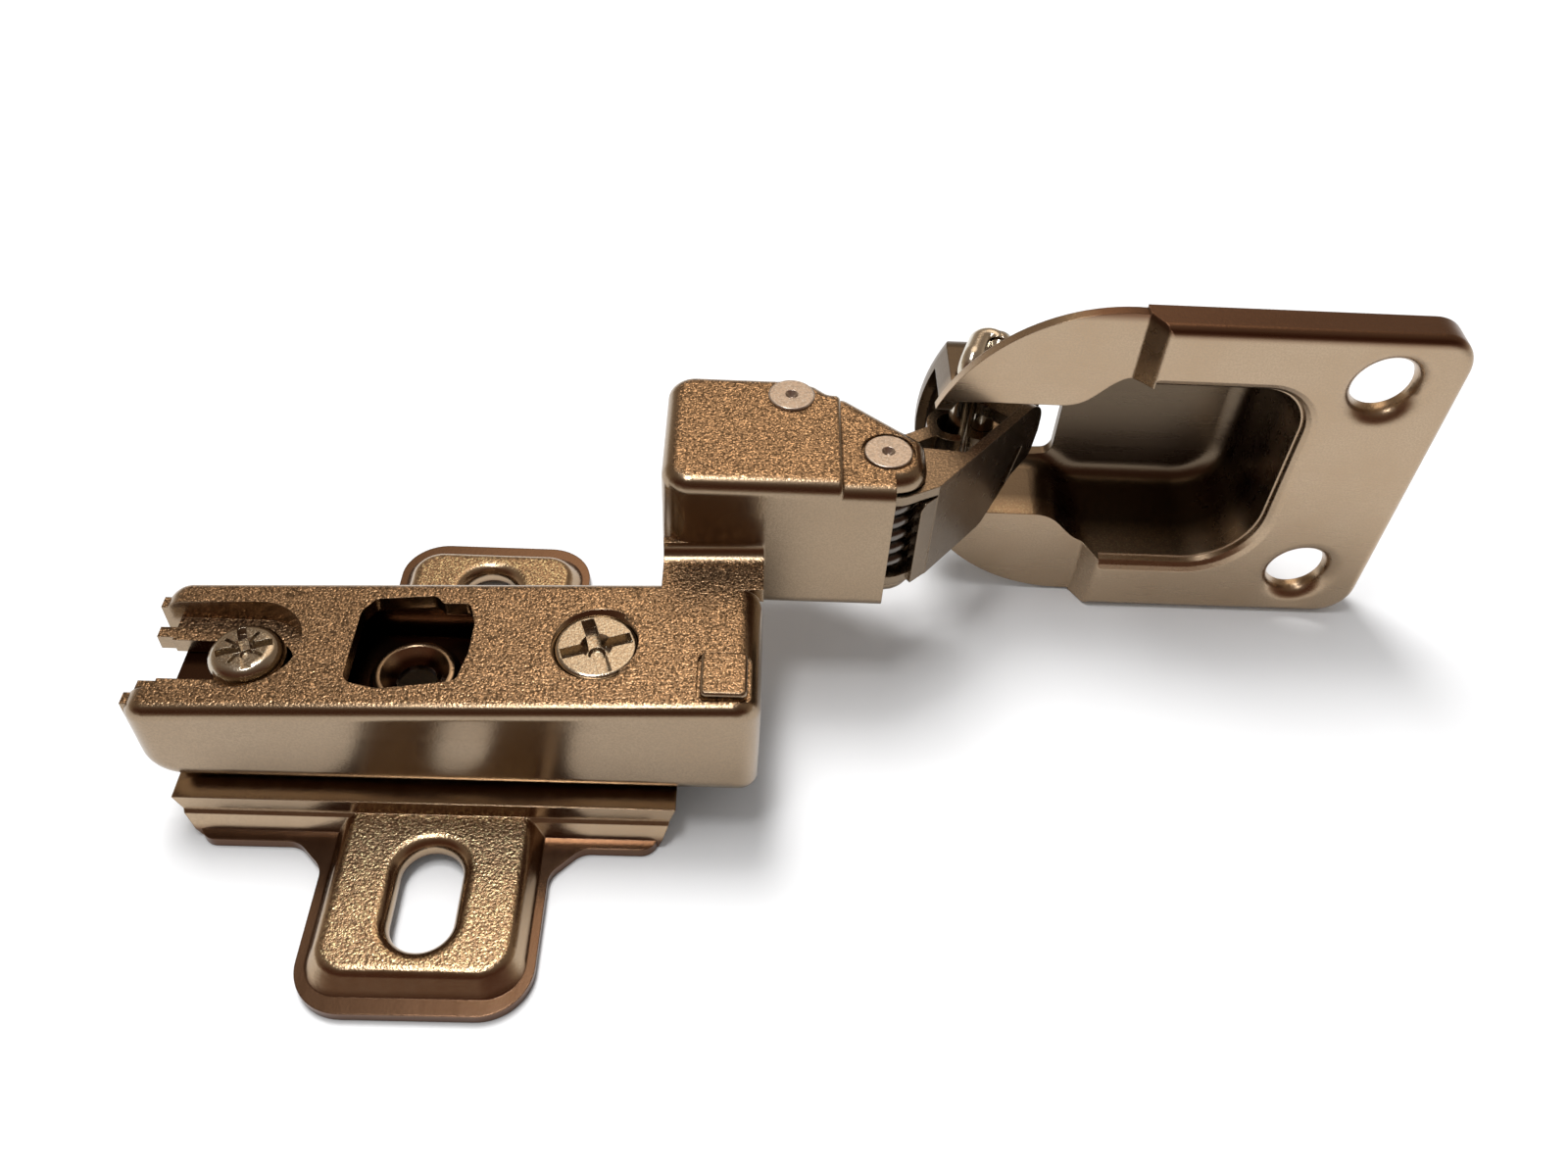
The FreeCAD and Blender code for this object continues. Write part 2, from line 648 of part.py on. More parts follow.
def rivet(place, head_r, z0, z1, sunk, proud):
    """Pivot rivet; the upper head reaches from sunk below the flange's face to proud above it."""
    x, y = place
    top = z1 + proud
    foot = z0 - RIVET_FOOT_H
    low = round_edges(cyl(head_r, x, y, foot, z0), RIVET_ROUND, lambda e: at_height(e, foot))
    high = round_edges(cyl(head_r, x, y, z1 - sunk, top), RIVET_ROUND, lambda e: at_height(e, top))
    dimple = cone(RIVET_DIMPLE_R / 4, RIVET_DIMPLE_R, x, y, top - RIVET_DIMPLE_DEPTH, top + NEAR)
    return cyl(RIVET_R, x, y, z0, z1).fuse([low, high]).cut(dimple).removeSplitter()


def inner_rivet():
    return rivet(R1, INNER_HEAD_R, BOX_Z0, BOX_Z1, 0.0, INNER_PROUD)


def outer_rivet():
    return rivet(R2, OUTER_HEAD_R, BOX_Z0, BOX_Z1 - BOX_STEP, RING_DEPTH, OUTER_PROUD)


# Links
def link_frame(shape):
    """From link axes (along, across, up) to the hinge's axes."""
    angle = math.degrees(math.atan2(PB[1] - R2[1], PB[0] - R2[0]))
    shape.rotate(ORIGIN, UP, angle)
    shape.translate(v(R2[0], R2[1]))
    return shape


def link_web():
    """Broad web of the outer link, with its slanted slot."""
    lower = [(along, LINK_Z0 + rise, r) for along, rise, r in WEB_LOWER]
    low_corner, high_corner = WEB_END_CORNERS
    profile = [(WEB_START, LINK_Z0, WEB_CORNER)] + lower
    profile += [(WEB_END, LINK_Z0 + WEB_LOW_END, low_corner), (WEB_END, LINK_Z1, high_corner)]
    profile += [(WEB_START, LINK_Z1, WEB_CORNER)]
    web = prism_y(profile, -LINK_FACE, -LINK_FACE + T_LINK)
    slot = [(along, LINK_Z0 + rise, r) for along, rise, r in WEB_SLOT]
    return web.cut(prism_y(slot, -LINK_FACE - 1, -LINK_FACE + T_LINK + 1))


def link_lip():
    """Strip bent forward from the web beside the box."""
    top = LINK_Z1 - LIP_DROP
    lip = prism([(along, across - LINK_FACE) for along, across in LIP_PLAN], LINK_Z0, top)
    return round_edges(lip, LIP_ROUND, lambda e: e.CenterOfMass.x < 0 and at_height(e, top))


def outer_link():
    ear = [(-EAR_R, EAR_R, EAR_CORNER), (-EAR_R, -EAR_R, EAR_FRONT_CORNER), (WEB_START, -LINK_FACE, EAR_BEND_CORNER),
           (EAR_REACH, -LINK_FACE), EAR_FLANK, (EAR_R, EAR_R, EAR_CORNER)]
    parts = [link_lip()]
    for z0 in (LINK_Z0, LINK_Z1 - T_LINK):
        parts.append(prism(ear, z0, z0 + T_LINK))
    back = -LINK_FACE + T_LINK / 2
    for z0 in EYE_LEVELS:
        parts.append(cyl(EYE_R, LINK_LEN, 0, z0, z0 + EYE_H))
        parts.append(block(LINK_LEN - EYE_SIDE, LINK_LEN + EYE_SIDE, back, 0, z0, z0 + EYE_H))
    link = link_web().fuse(parts)
    link = link.cut(bore(RIVET_R + RUN, 0, 0))
    link = link.cut(bore(PIN_R + RUN, LINK_LEN, 0))
    return link_frame(link.removeSplitter())


def inner_link():
    eye = cyl(INNER_EYE_R, R1[0], R1[1], INNER_Z0, INNER_Z1)
    along = v(CRADLE[0] - INNER_KNEE_X, CRADLE[1] - R1[1])
    along.normalize()
    h = T_INNER / 2
    knee_y = R1[1]
    bar = prism(
        [(R1[0], knee_y - h), (INNER_KNEE_X + INNER_KNEE_SHIFT, knee_y - h, INNER_KNEE_R),
         (CRADLE[0] + along.y * h, CRADLE[1] - along.x * h), (CRADLE[0] - along.y * h, CRADLE[1] + along.x * h),
         (INNER_KNEE_X - INNER_KNEE_SHIFT, knee_y + h, INNER_KNEE_R), (R1[0], knee_y + h)],
        INNER_Z0, INNER_Z1)
    cradle = cyl(CRADLE_R + CRADLE_WALL, CRADLE[0], CRADLE[1], INNER_Z0, INNER_Z1)
    mouth = block(CRADLE[0], FAR, CRADLE[1] - CRADLE_R, CRADLE[1] + CRADLE_R, 0, FAR)
    link = eye.fuse([bar, cradle]).cut(bore(CRADLE_R, CRADLE[0], CRADLE[1]).fuse(mouth))
    link = link.cut(block(CRADLE_TIP, FAR, 0, FAR, 0, FAR))
    link = link.cut(bore(RIVET_R + RUN, R1[0], R1[1]))
    return link.removeSplitter()


def torsion_spring():
    """Coil round the outer rivet, one leg along the box's front web, a short one along the link."""
    first = -math.pi / 2
    last = math.atan2(R2[0] - PB[0], PB[1] - R2[1]) + 2 * math.pi * SPRING_TURNS
    turn = last - first
    rise = SPRING_PITCH * turn / (2 * math.pi)
    helix = Part.makeHelix(SPRING_PITCH, rise, SPRING_COIL_R)
    start = helix.Edges[0].valueAt(helix.Edges[0].FirstParameter)
    profile = Part.Wire(Part.makeCircle(SPRING_WIRE_R, start, ALONG_Y))
    coil = Part.Wire(helix.Edges).makePipeShell([profile], True, True)
    low_leg = Part.makeCylinder(SPRING_WIRE_R, SPRING_LOW_LEG, start, v(0, -1, 0))
    end = v(SPRING_COIL_R * math.cos(turn), SPRING_COIL_R * math.sin(turn), rise)
    high_leg = Part.makeCylinder(SPRING_WIRE_R, SPRING_HIGH_LEG, end, v(-math.sin(turn), math.cos(turn), 0))
    spring = coil.fuse([low_leg, high_leg])
    spring.rotate(ORIGIN, UP, math.degrees(first))
    spring.translate(v(R2[0], R2[1], LINK_Z0 + T_LINK + SPRING_WIRE_R + SPRING_CLEAR))
    return spring


# Cup: one drawn sheet, built in its own axes (along the flange, height, depth)
def place_cup(shape):
    """Turn the depth axis from Z to Y and move the cup to its place."""
    shape.rotate(ORIGIN, ALONG_X, 90)
    shape = shape.mirror(ORIGIN, ALONG_Y)
    shape.translate(v(CUP_X, CUP_Y, CUP_Z))
    return shape


def prism_section(points):
    """Prism of a (u, depth) section over the cup's whole height."""
    shape = prism(points, -FAR, FAR)
    shape.rotate(ORIGIN, ALONG_X, 90)
    return shape


def pocket_wire(depth, grow, wide, right, corners, radius):
    """Pocket outline at one depth; corners are the right-hand corner radii above and below."""
    narrow = NARROW + grow
    wide = wide + grow
    right = right + grow
    left = DISC_U - math.sqrt(radius * radius - narrow * narrow)
    up_r = corners[0] + grow
    down_r = corners[1] + grow
    middle = (WAIST_U0 + WAIST_U1) / 2

    def curve(points):
        bend = Part.BezierCurve()
        bend.setPoles([v(x, y, depth) for x, y in points])
        return bend.toShape()

    def line(a, b):
        return Part.makeLine(v(a[0], a[1], depth), v(b[0], b[1], depth))

    def corner_arc(sign, r):
        x = right - r
        y = sign * (wide - r)
        k = r * math.sqrt(0.5)
        return Part.Arc(v(x, sign * wide, depth), v(x + k, y + sign * k, depth), v(right, y, depth)).toShape()

    edges = [
        line((left, narrow), (WAIST_U0, narrow)),
        curve([(WAIST_U0, narrow), (middle, narrow), (middle, wide), (WAIST_U1, wide)]),
        line((WAIST_U1, wide), (right - up_r, wide)),
        corner_arc(1, up_r),
        line((right, wide - up_r), (right, -wide + down_r)),
        corner_arc(-1, down_r),
        line((right - down_r, -wide), (WAIST_U1, -wide)),
        curve([(WAIST_U1, -wide), (middle, -wide), (middle, -narrow), (WAIST_U0, -narrow)]),
        line((WAIST_U0, -narrow), (left, -narrow)),
        Part.Arc(v(left, -narrow, depth), v(DISC_U - radius, 0, depth), v(left, narrow, depth)).toShape(),
    ]
    return Part.Wire(edges)


def pocket_solid(grow, z0, z1):
    """Pocket with its wall moved out by grow, from one depth to another."""
    radius = WALL_R - T_CUP + grow
    front = pocket_wire(z0, grow, WIDE, POCKET_U, POCKET_CORNERS, radius)
    floor = pocket_wire(z1, grow, WIDE_FLOOR, POCKET_U_FLOOR, FLOOR_CORNERS, radius)
    solid = Part.makeLoft([front, floor], True, True)
    return round_edges(solid, FLOOR_ROUND + grow, lambda e: at_height(e, z1))


def pocket_mouth():
    """Rolled edge of the pocket where it meets the flange."""
    wires = []
    for depth, share in MOUTH_CURVE:
        flare = MOUTH_FLARE * share
        wires.append(pocket_wire(depth, flare, WIDE, POCKET_U, POCKET_CORNERS, WALL_R - T_CUP))
    mouth = Part.makeLoft(wires, True, True)
    return mouth.common(block(STEP_U1, FAR, -FAR, FAR, -1, CUP_STEP))


def behind_front(drop, depth):
    """All that lies behind the bent front sheet's face, moved back by drop, down to a depth."""
    foot = (STEP_U0 + drop * 0.4, CUP_STEP + drop, STEP_FOOT_R + drop * 0.3)
    head = (STEP_U1 + drop * 0.4, drop, STEP_HEAD_R - drop * 0.3)
    return prism_section([(-FAR, CUP_STEP + drop), foot, head, (FAR, drop), (FAR, depth), (-FAR, depth)])


def flange_block(inset, depth):
    """Block under the flange; its front edges are rounded where there is no inset."""
    half = CUP_HALF - inset
    end = CUP_PLATE_U - inset
    left = STEP_U0 - 1.0
    corner = CUP_CORNER - inset
    plan = [(left, -half), (end, -half, corner), (end, half, corner), (left, half)]
    if inset:
        return prism(plan, -NEAR, depth)
    return round_edges(prism(plan, 0.0, depth), CUP_EDGE_R, lambda e: at_height(e, 0.0) and e.CenterOfMass.x > left + 1)


def screw_rim(edge):
    """Front edges of the two screw holes."""
    whole = abs(edge.Length - 2 * math.pi * CUP_SCREW_R) < 10 * NEAR
    return whole and at_height(edge, 0.0) and abs(edge.CenterOfMass.x - CUP_SCREW_U) < NEAR


def cup():
    wall = behind_front(0.0, CUP_DEPTH)
    plate = flange_block(0.0, CUP_RIM_V).common(block(STEP_U0, FAR, -FAR, FAR, -1, CUP_DEPTH))
    disc = cyl(DISC_R, DISC_U, 0, 0, CUP_STEP + T_CUP).common(block(-FAR, STEP_U1, -FAR, FAR, -1, CUP_DEPTH))
    sheet = wall.cut(behind_front(T_CUP, CUP_DEPTH + 1))
    rim = plate.cut(flange_block(T_CUP, CUP_DEPTH)).common(wall)
    body = plate.fuse(disc).common(sheet).fuse(rim)
    places = [(CUP_SCREW_U, side * CUP_SCREW_W) for side in (1, -1)]
    for u, w in places:
        body = body.fuse(cone(CUP_SCREW_R + CUP_BOSS_ROOT, CUP_SCREW_R + CUP_BOSS_TIP, u, w, T_CUP / 2, T_CUP * 2))
    body = body.fuse(pocket_solid(T_CUP, 0.0, CUP_DEPTH).common(wall))
    body = body.cut(pocket_solid(0.0, -NEAR, CUP_DEPTH - T_CUP))
    body = body.cut(pocket_mouth())
    body = body.cut(block(-FAR, WAY_U, -WAY_DOWN, WAY_UP, -1, WAY_DEPTH))
    window = rect(FLOOR_SLOT_U0, FLOOR_SLOT_U1, -FLOOR_SLOT_HALF, FLOOR_SLOT_HALF, FLOOR_SLOT_CORNER)
    body = body.cut(prism(window, CUP_DEPTH - FLOOR_SLOT_DEPTH, FAR))
    for u, w in places:
        body = body.cut(cyl(CUP_SCREW_R, u, w, -1, CUP_RIM_V))
    body = round_edges(body, CUP_SCREW_ROUND, screw_rim)
    body = place_cup(body)
    for x, y in (PA, PB):
        body = body.cut(bore(PIN_R + PIN_FIT, x, y))
    return body


def sweep(wire, radius):
    edge = wire.Edges[0]
    start = edge.valueAt(edge.FirstParameter)
    tangent = edge.tangentAt(edge.FirstParameter)
    profile = Part.Wire(Part.makeCircle(radius, start, tangent))
    return wire.makePipeShell([profile], True, True)


def cup_u_pin():
    """Round wire with two legs down through the cup and a bend lying on the cup's side wall."""
    top = CUP_Z + NARROW + T_CUP + PIN_R + PIN_LIFT
    bottom = CUP_Z - NARROW - T_CUP - PIN_FOOT
    out = v(PIN_HEADING[0], PIN_HEADING[1])
    k = math.sqrt(0.5)

    def corner(place):
        low = v(place[0], place[1], top - PIN_KNEE_R)
        centre = low.add(out * PIN_KNEE_R)
        mid = centre.add(v(-out.x * PIN_KNEE_R * k, -out.y * PIN_KNEE_R * k, PIN_KNEE_R * k))
        return low, mid, centre.add(UP * PIN_KNEE_R)

    a_low, a_mid, a_high = corner(PA)
    b_low, b_mid, b_high = corner(PB)
    lead = v(PB[0] - PA[0], PB[1] - PA[1]).dot(out)
    a_end = v(PA[0], PA[1], top).add(out * PIN_REACH)
    b_end = v(PB[0], PB[1], top).add(out * (PIN_REACH - lead))
    width = a_end.distanceToPoint(b_end)
    crown = (a_end.add(b_end) * 0.5).add(out * (width / 2))
    path = Part.Wire([
        Part.makeLine(v(PA[0], PA[1], bottom), a_low),
        Part.Arc(a_low, a_mid, a_high).toShape(),
        Part.makeLine(a_high, a_end),
        Part.Arc(a_end, crown, b_end).toShape(),
        Part.makeLine(b_end, b_high),
        Part.Arc(b_high, b_mid, b_low).toShape(),
        Part.makeLine(b_low, v(PB[0], PB[1], bottom)),
    ])
    return sweep(path, PIN_R)


SUB_PARTS = (
    mounting_plate, clamp_screw, adjusting_screw, hinge_arm, inner_rivet, outer_rivet, outer_link, inner_link,
    torsion_spring, cup, cup_u_pin,
)


def main():
    os.makedirs("parts", exist_ok=True)
    for make in SUB_PARTS:
        make().exportStep("parts/" + make.__name__ + ".step")


main()
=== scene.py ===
import json
import math
import bpy
from mathutils import Matrix, Vector

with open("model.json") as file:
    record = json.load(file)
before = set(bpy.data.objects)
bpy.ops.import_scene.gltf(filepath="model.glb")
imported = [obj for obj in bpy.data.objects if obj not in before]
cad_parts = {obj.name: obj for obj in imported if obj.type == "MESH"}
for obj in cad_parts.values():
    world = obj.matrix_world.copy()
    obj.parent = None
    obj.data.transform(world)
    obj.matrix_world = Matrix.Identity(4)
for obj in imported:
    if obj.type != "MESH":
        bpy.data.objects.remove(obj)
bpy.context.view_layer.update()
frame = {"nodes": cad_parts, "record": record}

MM = 0.001

# Camera solved from the straight edges of the photo, in millimetres and degrees
CAM_AT = (24.69, -70.31, 98.64)
CAM_PITCH = 46.83
CAM_YAW = 2.96
CAM_ROLL = 4.07
CAM_LENS = 29.88
CAM_SENSOR = 36.0
CAM_CLIP = (0.005, 20.0)

# Noises of the plating as scale, detail and roughness
CLOUD = (160.0, 4.0, 0.55)
GRIT = (6000.0, 1.0, 0.5)
FLAKE = (3600.0, 1.0, 0.5)
MARKS = (900.0, 2.0, 0.5)

# Steps from nought to one over a noise, or over how level a face lies
CLOUD_STEP = ((0.35, 0.0), (0.7, 1.0))
GRIT_STEP = ((0.35, 0.0), (0.65, 1.0))
# The next two steps split the painted glints of the level faces into dark and bright flecks
PAINTED_GLINT_DARK_STEP = ((0.40, 0.0), (0.58, 1.0))
PAINTED_GLINT_BRIGHT_STEP = ((0.56, 0.0), (0.66, 1.0))
LEVEL_STEP = ((0.9, 0.0), (0.995, 1.0))

# Shares of the plating's own tone: tarnish and face flecks, and the painted sheen and painted glints (dark
# and bright flecks) of the level faces
TARNISH_SHIFT = (0.78, 0.66, 0.52)
PAINTED_SHEEN_SHIFT = (1.02, 0.89, 0.76)
FACE_FLECK = 0.86
PAINTED_GLINT_DARK = 0.38
PAINTED_GLINT_BRIGHT = 2.9

# Roughness and relief of the plating, its edge and height in millimetres
EDGE_BEVEL = 0.16
TARNISH = 0.25
MARK_ROUGH = 0.10
TOP_ROUGH = 0.11
BUMP_LEVEL = 0.9
BUMP_BASE = 0.08
BUMP_HEIGHT = 0.05
GRIT_HEIGHT = 0.7
BEVEL_SAMPLES = 4

# Stretch of the drawing marks
EVEN = (1.0, 1.0, 1.0)
DRAWN_ALONG_X = (0.1, 1.0, 1.0)
DRAWN_ALONG_Y = (1.0, 0.1, 1.0)

# Zones of a material along an axis in millimetres, with the painted shade or painted reflection each one
# takes
ZONE_SPAN = 40.0
# Cup: painted shade deep in the pocket, and a painted dark reflection on the top rim
CUP_PAINTED_SHADE = (
    ("Y", ((23.9, 0.0), (26.2, 1.0)), (0.30, 0.30, 0.30)),
    ("Z", ((33.7, 0.0), (34.4, 1.0)), (0.38, 0.27, 0.23)),
)
# Plate: painted dark reflection on the low rim of the wings, and painted shade on the crown under the arm
PLATE_PAINTED_SHADE = (
    ("Z", ((0.9, 1.0), (1.5, 0.0)), (0.33, 0.23, 0.20)),
    ("Z", ((9.5, 0.0), (10.2, 1.0), (10.9, 1.0), (11.3, 0.0)), (0.16, 0.10, 0.08)),
)
# Plate: painted glints and grain relief only at the height of the wing pads
PLATE_GLINT_AND_GRAIN = ("Z", ((1.6, 0.0), (2.2, 1.0), (3.0, 1.0), (3.6, 0.0)))

# Finish of each material slot
FINISHES = {
    "plate": dict(name="plate_nickel", tone=(0.45, 0.335, 0.225), rough=0.21, glint_and_grain=0.8,
                  drawn=DRAWN_ALONG_Y, tarnish=0.6, painted_shades=PLATE_PAINTED_SHADE, glint_and_grain_at=PLATE_GLINT_AND_GRAIN),
    "arm": dict(name="arm_nickel", tone=(0.34, 0.255, 0.172), rough=0.22, glint_and_grain=1.0, drawn=DRAWN_ALONG_X),
    "cup": dict(name="cup_nickel", tone=(0.47, 0.352, 0.24), rough=0.28, glint_and_grain=0.25,
                drawn=DRAWN_ALONG_X, tarnish=0.4, painted_shades=CUP_PAINTED_SHADE),
    "link": dict(name="link_nickel", tone=(0.26, 0.20, 0.14), rough=0.26, glint_and_grain=0.4, tarnish=0.5),
    "rivet": dict(name="rivet_nickel", tone=(0.62, 0.54, 0.47), rough=0.34, glint_and_grain=0.3, bevel=0.08),
    "screw": dict(name="screw_nickel", tone=(0.52, 0.46, 0.37), rough=0.18, glint_and_grain=0.3,
                  bevel=0.08, tarnish=0.8),
    "spring": dict(name="spring_steel", tone=(0.16, 0.145, 0.13), rough=0.25, glint_and_grain=0.2, bevel=0.05),
    "wire": dict(name="wire_nickel", tone=(0.66, 0.60, 0.50), rough=0.18, glint_and_grain=0.2, bevel=0.05),
}

# Floor, its size in metres and its drop below the hinge in millimetres
FLOOR_SIZE = 3.0
FLOOR_DROP = 0.02
FLOOR_CLOUD = (3.0, 2.0, 0.55)
FLOOR_TONES = ((0.90, 0.90, 0.91), (0.93, 0.93, 0.93))
FLOOR_ROUGH = 0.85
FLOOR_SHINE = 0.1

# Room: pale at the horizon, dim brown overhead, a warm glow behind, darker red-brown on the viewer's side
ROOM_FAR = (
    (0.0, (0.95, 0.94, 0.92)), (0.12, (0.50, 0.40, 0.30)), (0.45, (0.30, 0.23, 0.17)),
    (0.75, (0.28, 0.22, 0.17)), (1.0, (0.24, 0.19, 0.15)),
)
ROOM_NEAR = (
    (0.0, (0.95, 0.94, 0.92)), (0.1, (0.30, 0.20, 0.14)), (0.4, (0.10, 0.035, 0.02)),
    (0.75, (0.13, 0.07, 0.045)), (1.0, (0.20, 0.15, 0.11)),
)
ROOM_SIDES = ((0.3, 1.0), (0.55, 0.0))
ROOM_FILL = (0.36, 0.36, 0.36)
GLOW_HEADING = (0.06, 0.60, 0.80)
GLOW_COLOUR = (2.0, 1.62, 1.25)
GLOW_NEAR = 2.0
GLOW_FAR = 22.0

# Lamps in metres and watts: place, size, power, and whether metal mirrors them
AIM = (0.03, 0.0, 0.01)
LAMPS = {
    "key": ((-0.12, 0.28, 0.72), (0.26, 0.26), 3.8, False),
    "overhead": ((-0.08, 0.03, 0.75), (0.40, 0.12), 2.4, True),
}


def scaled(tone, shift):
    return tuple(c * k for c, k in zip(tone, shift))


class Nodes:
    """Small helper round a node tree."""

    def __init__(self, tree):
        self.tree = tree

    def add(self, kind):
        return self.tree.nodes.new(kind)

    def link(self, a, b):
        self.tree.links.new(a, b)

    def math(self, op, *values):
        node = self.add("ShaderNodeMath")
        node.operation = op
        for slot, value in zip(node.inputs, values):
            if isinstance(value, (int, float)):
                slot.default_value = value
            else:
                self.link(value, slot)
        return node.outputs[0]

    def axes(self, vector):
        node = self.add("ShaderNodeSeparateXYZ")
        self.link(vector, node.inputs[0])
        return node.outputs

    def lobe(self, vector, heading, near, far):
        """One inside the near angle round a heading, falling smoothly to nought at the far angle."""
        dot = self.add("ShaderNodeVectorMath")
        dot.operation = "DOT_PRODUCT"
        self.link(vector, dot.inputs[0])
        dot.inputs[1].default_value = Vector(heading).normalized()
        spread = self.add("ShaderNodeMapRange")
        spread.interpolation_type = "SMOOTHSTEP"
        spread.inputs["From Min"].default_value = math.cos(math.radians(far))
        spread.inputs["From Max"].default_value = math.cos(math.radians(near))
        self.link(dot.outputs["Value"], spread.inputs["Value"])
        return spread.outputs["Result"]

    def mix(self, factor, a, b):
        node = self.add("ShaderNodeMix")
        node.data_type = "RGBA"
        self.link(factor, node.inputs[0])
        for slot, value in ((node.inputs[6], a), (node.inputs[7], b)):
            if isinstance(value, tuple):
                slot.default_value = (*value, 1.0)
            else:
                self.link(value, slot)
        return node.outputs[2]

    def colours(self, source, stops):
        node = self.add("ShaderNodeValToRGB")
        elements = node.color_ramp.elements
        for end, (at, colour) in ((0, stops[0]), (-1, stops[-1])):
            elements[end].position = at
            elements[end].color = (*colour, 1.0)
        for at, colour in stops[1:-1]:
            elements.new(at).color = (*colour, 1.0)
        self.link(source, node.inputs[0])
        return node.outputs[0]

    def ramp(self, source, stops):
        return self.colours(source, [(at, (level, level, level)) for at, level in stops])

    def zone(self, coords, axis, stops):
        """Ramp along an axis of the hinge, its stops in millimetres."""
        share = self.math("MULTIPLY", self.axes(coords)[axis], 1.0 / (ZONE_SPAN * MM))
        return self.ramp(share, [(at / ZONE_SPAN, level) for at, level in stops])

    def noise(self, coords, scale, detail, rough, stretch=None):
        source = coords
        if stretch is not None:
            mapping = self.add("ShaderNodeMapping")
            mapping.inputs["Scale"].default_value = stretch
            self.link(coords, mapping.inputs["Vector"])
            source = mapping.outputs[0]
        node = self.add("ShaderNodeTexNoise")
        node.inputs["Scale"].default_value = scale
        node.inputs["Detail"].default_value = detail
        node.inputs["Roughness"].default_value = rough
        self.link(source, node.inputs["Vector"])
        return node.outputs["Fac"]


def plated(name, tone, rough, glint_and_grain, bevel=EDGE_BEVEL, drawn=EVEN, tarnish=TARNISH, painted_shades=(), glint_and_grain_at=None):
    """Plated steel: rounded edge, grain relief with painted sheen and painted glints on the flat tops, faint
    drawing marks, brown tarnish, and painted shade and painted reflection in zones along an axis.
    """
    mat = bpy.data.materials.new(name)
    mat.use_nodes = True
    mat.node_tree.nodes.clear()
    n = Nodes(mat.node_tree)
    coords = n.add("ShaderNodeTexCoord").outputs["Object"]
    out = n.add("ShaderNodeOutputMaterial")
    bsdf = n.add("ShaderNodeBsdfPrincipled")
    bsdf.inputs["Metallic"].default_value = 1.0
    cloud = n.noise(coords, *CLOUD)
    grit = n.noise(coords, *GRIT)
    flake = n.noise(coords, *FLAKE)
    marks = n.noise(coords, *MARKS, drawn)
    level = n.ramp(n.axes(n.add("ShaderNodeNewGeometry").outputs["Normal"])["Z"], LEVEL_STEP)

    # Satin faces with brown clouds and fine flecks
    stain = n.math("MULTIPLY", n.ramp(cloud, CLOUD_STEP), tarnish)
    body = n.mix(stain, tone, scaled(tone, TARNISH_SHIFT))
    body = n.mix(n.ramp(grit, GRIT_STEP), body, tuple(c * FACE_FLECK for c in tone))

    # Painted sheen and painted glints of the level faces: a golden tone with dark and bright flecks that
    # stand in for the glitter of the lamps
    painted_sheen = scaled(tone, PAINTED_SHEEN_SHIFT)
    painted_glints = n.mix(n.ramp(flake, PAINTED_GLINT_DARK_STEP), tuple(c * PAINTED_GLINT_DARK for c in painted_sheen), painted_sheen)
    painted_glints = n.mix(n.ramp(grit, PAINTED_GLINT_BRIGHT_STEP), painted_glints, tuple(min(1.0, c * PAINTED_GLINT_BRIGHT) for c in painted_sheen))
    # Mask of the level faces that take the painted sheen, painted glints and grain relief
    sparkle = n.math("MULTIPLY", level, glint_and_grain)
    if glint_and_grain_at is not None:
        sparkle = n.math("MULTIPLY", sparkle, n.zone(coords, *glint_and_grain_at))
    colour = n.mix(sparkle, body, painted_glints)
    # Painted shade and painted reflection laid over the zones
    for axis, stops, painted_shade in painted_shades:
        colour = n.mix(n.zone(coords, axis, stops), colour, scaled(tone, painted_shade))
    n.link(colour, bsdf.inputs["Base Color"])
    streak = n.math("MULTIPLY_ADD", marks, MARK_ROUGH, rough - MARK_ROUGH / 2)
    n.link(n.math("MULTIPLY_ADD", sparkle, TOP_ROUGH, streak), bsdf.inputs["Roughness"])

    # Rounded edges and relief
    edge = n.add("ShaderNodeBevel")
    edge.samples = BEVEL_SAMPLES
    edge.inputs["Radius"].default_value = bevel * MM
    bump = n.add("ShaderNodeBump")
    n.link(n.math("MULTIPLY_ADD", sparkle, BUMP_LEVEL, BUMP_BASE), bump.inputs["Strength"])
    bump.inputs["Distance"].default_value = BUMP_HEIGHT * MM
    n.link(n.math("MULTIPLY_ADD", grit, GRIT_HEIGHT, flake), bump.inputs["Height"])
    n.link(edge.outputs[0], bump.inputs["Normal"])
    n.link(bump.outputs[0], bsdf.inputs["Normal"])
    n.link(bsdf.outputs[0], out.inputs["Surface"])
    return mat


def dress():
    materials = {slot: plated(**finish) for slot, finish in FINISHES.items()}
    slots = {part["node"]: part["material_slot"] for part in frame["record"]["subparts"]}
    for name, obj in frame["nodes"].items():
        obj.data.materials.clear()
        obj.data.materials.append(materials[slots[name]])


def pale_floor():
    bpy.ops.mesh.primitive_plane_add(size=FLOOR_SIZE, location=(0, 0, -FLOOR_DROP * MM))
    floor = bpy.context.object
    floor.name = "floor"
    mat = bpy.data.materials.new("pale_floor")
    mat.use_nodes = True
    n = Nodes(mat.node_tree)
    bsdf = mat.node_tree.nodes["Principled BSDF"]
    coords = n.add("ShaderNodeTexCoord").outputs["Object"]
    cloud = n.noise(coords, *FLOOR_CLOUD)
    n.link(n.mix(cloud, *FLOOR_TONES), bsdf.inputs["Base Color"])
    bsdf.inputs["Roughness"].default_value = FLOOR_ROUGH
    bsdf.inputs["Specular IOR Level"].default_value = FLOOR_SHINE
    floor.data.materials.append(mat)


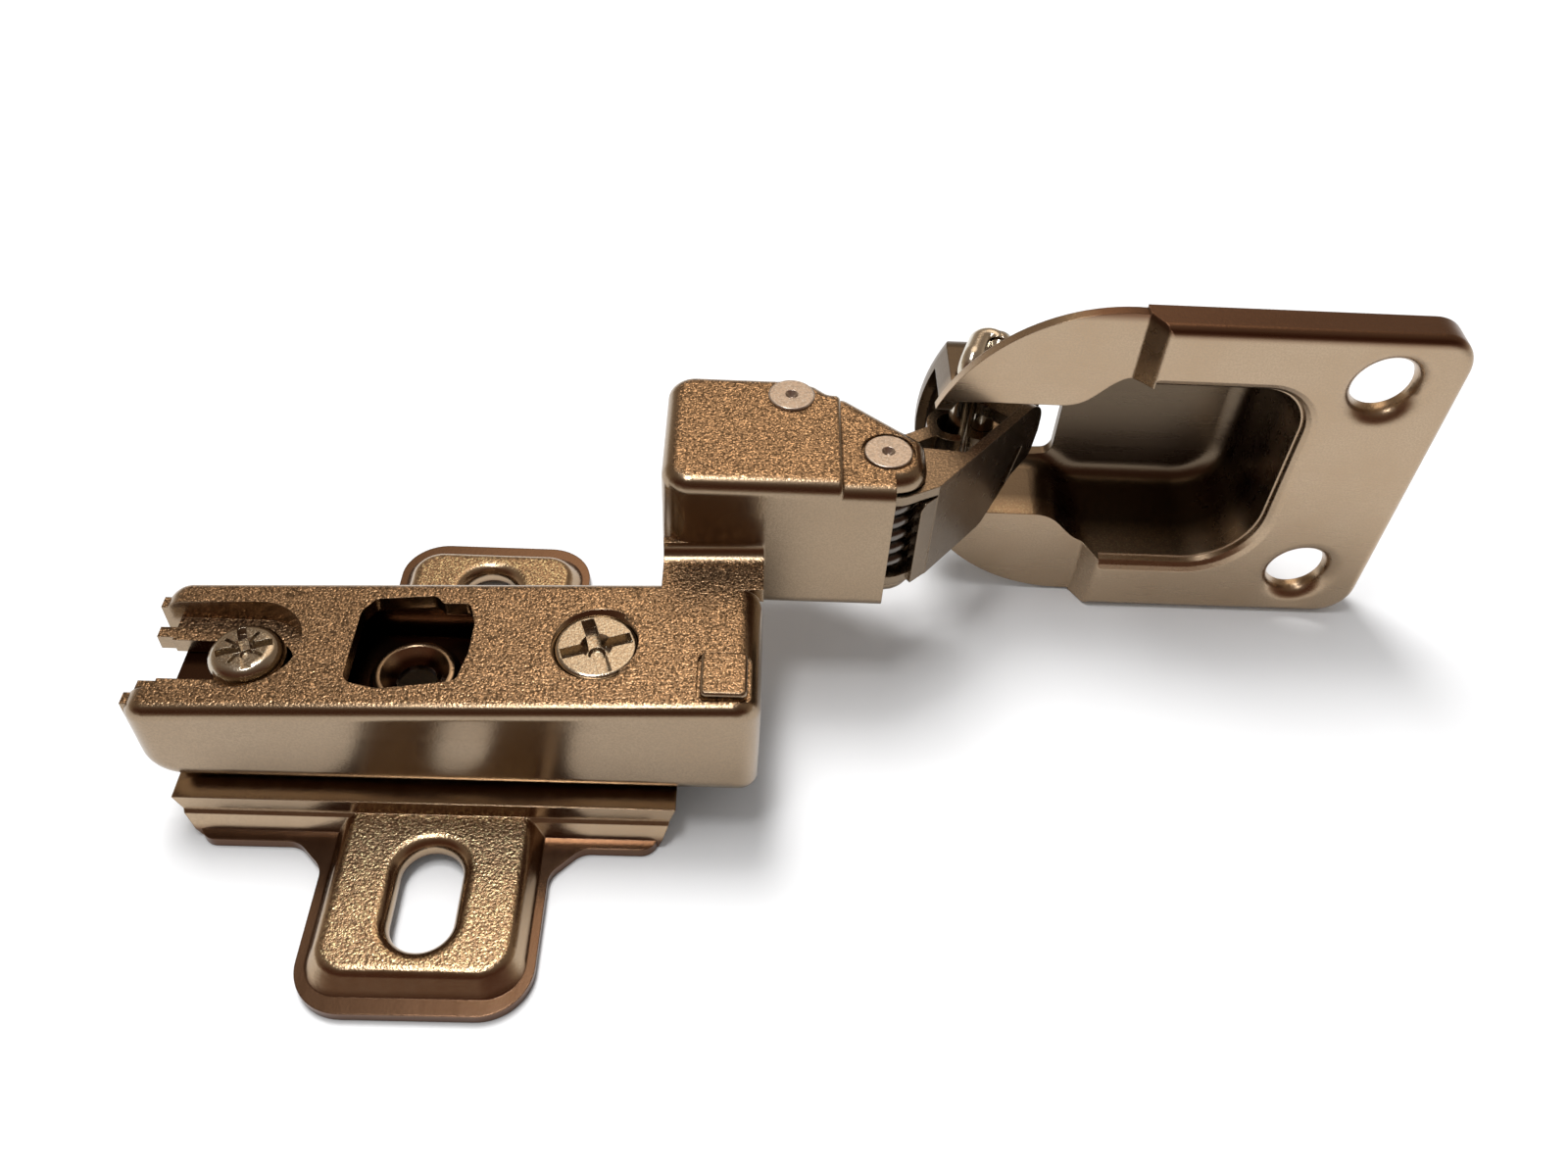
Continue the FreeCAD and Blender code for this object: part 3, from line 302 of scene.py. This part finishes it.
def room():
    world = bpy.data.worlds.new("room")
    bpy.context.scene.world = world
    world.use_nodes = True
    world.node_tree.nodes.clear()
    n = Nodes(world.node_tree)
    out = n.add("ShaderNodeOutputWorld")
    heading = n.add("ShaderNodeTexCoord").outputs["Generated"]
    axes = n.axes(heading)
    far = n.colours(axes["Z"], ROOM_FAR)
    near = n.colours(axes["Z"], ROOM_NEAR)
    side = n.ramp(n.math("MULTIPLY_ADD", axes["Y"], 0.5, 0.5), ROOM_SIDES)
    glow = n.lobe(heading, GLOW_HEADING, GLOW_NEAR, GLOW_FAR)
    walls = n.mix(glow, n.mix(side, far, near), GLOW_COLOUR)
    diffuse = n.add("ShaderNodeLightPath").outputs["Is Diffuse Ray"]
    ground = n.add("ShaderNodeBackground")
    n.link(n.mix(diffuse, walls, ROOM_FILL), ground.inputs["Color"])
    ground.inputs["Strength"].default_value = 1.0
    n.link(ground.outputs[0], out.inputs["Surface"])


def lamp(name, at, size, power, mirrored):
    data = bpy.data.lights.new(name, "AREA")
    data.shape = "RECTANGLE"
    data.size, data.size_y = size
    data.energy = power
    obj = bpy.data.objects.new(name, data)
    bpy.context.scene.collection.objects.link(obj)
    obj.location = Vector(at)
    obj.rotation_euler = (Vector(AIM) - Vector(at)).to_track_quat("-Z", "Y").to_euler()
    obj.visible_glossy = mirrored


def camera():
    pitch, yaw, roll = (math.radians(a) for a in (CAM_PITCH, CAM_YAW, CAM_ROLL))
    forward = Vector((math.sin(yaw) * math.cos(pitch), math.cos(yaw) * math.cos(pitch), -math.sin(pitch)))
    right = Vector((math.cos(yaw), -math.sin(yaw), 0.0))
    up = right.cross(forward)
    turned_right = right * math.cos(roll) + up * math.sin(roll)
    turned_up = up * math.cos(roll) - right * math.sin(roll)
    data = bpy.data.cameras.new("camera")
    data.lens = CAM_LENS
    data.sensor_width = CAM_SENSOR
    data.clip_start, data.clip_end = CAM_CLIP
    obj = bpy.data.objects.new("camera", data)
    bpy.context.scene.collection.objects.link(obj)
    basis = Matrix((turned_right, turned_up, -forward)).transposed().to_4x4()
    obj.matrix_world = Matrix.Translation(Vector(CAM_AT) * MM) @ basis
    bpy.context.scene.camera = obj


dress()
pale_floor()
room()
for lamp_name, settings in LAMPS.items():
    lamp(lamp_name, *settings)
camera()
bpy.context.scene.view_settings.view_transform = "Standard"
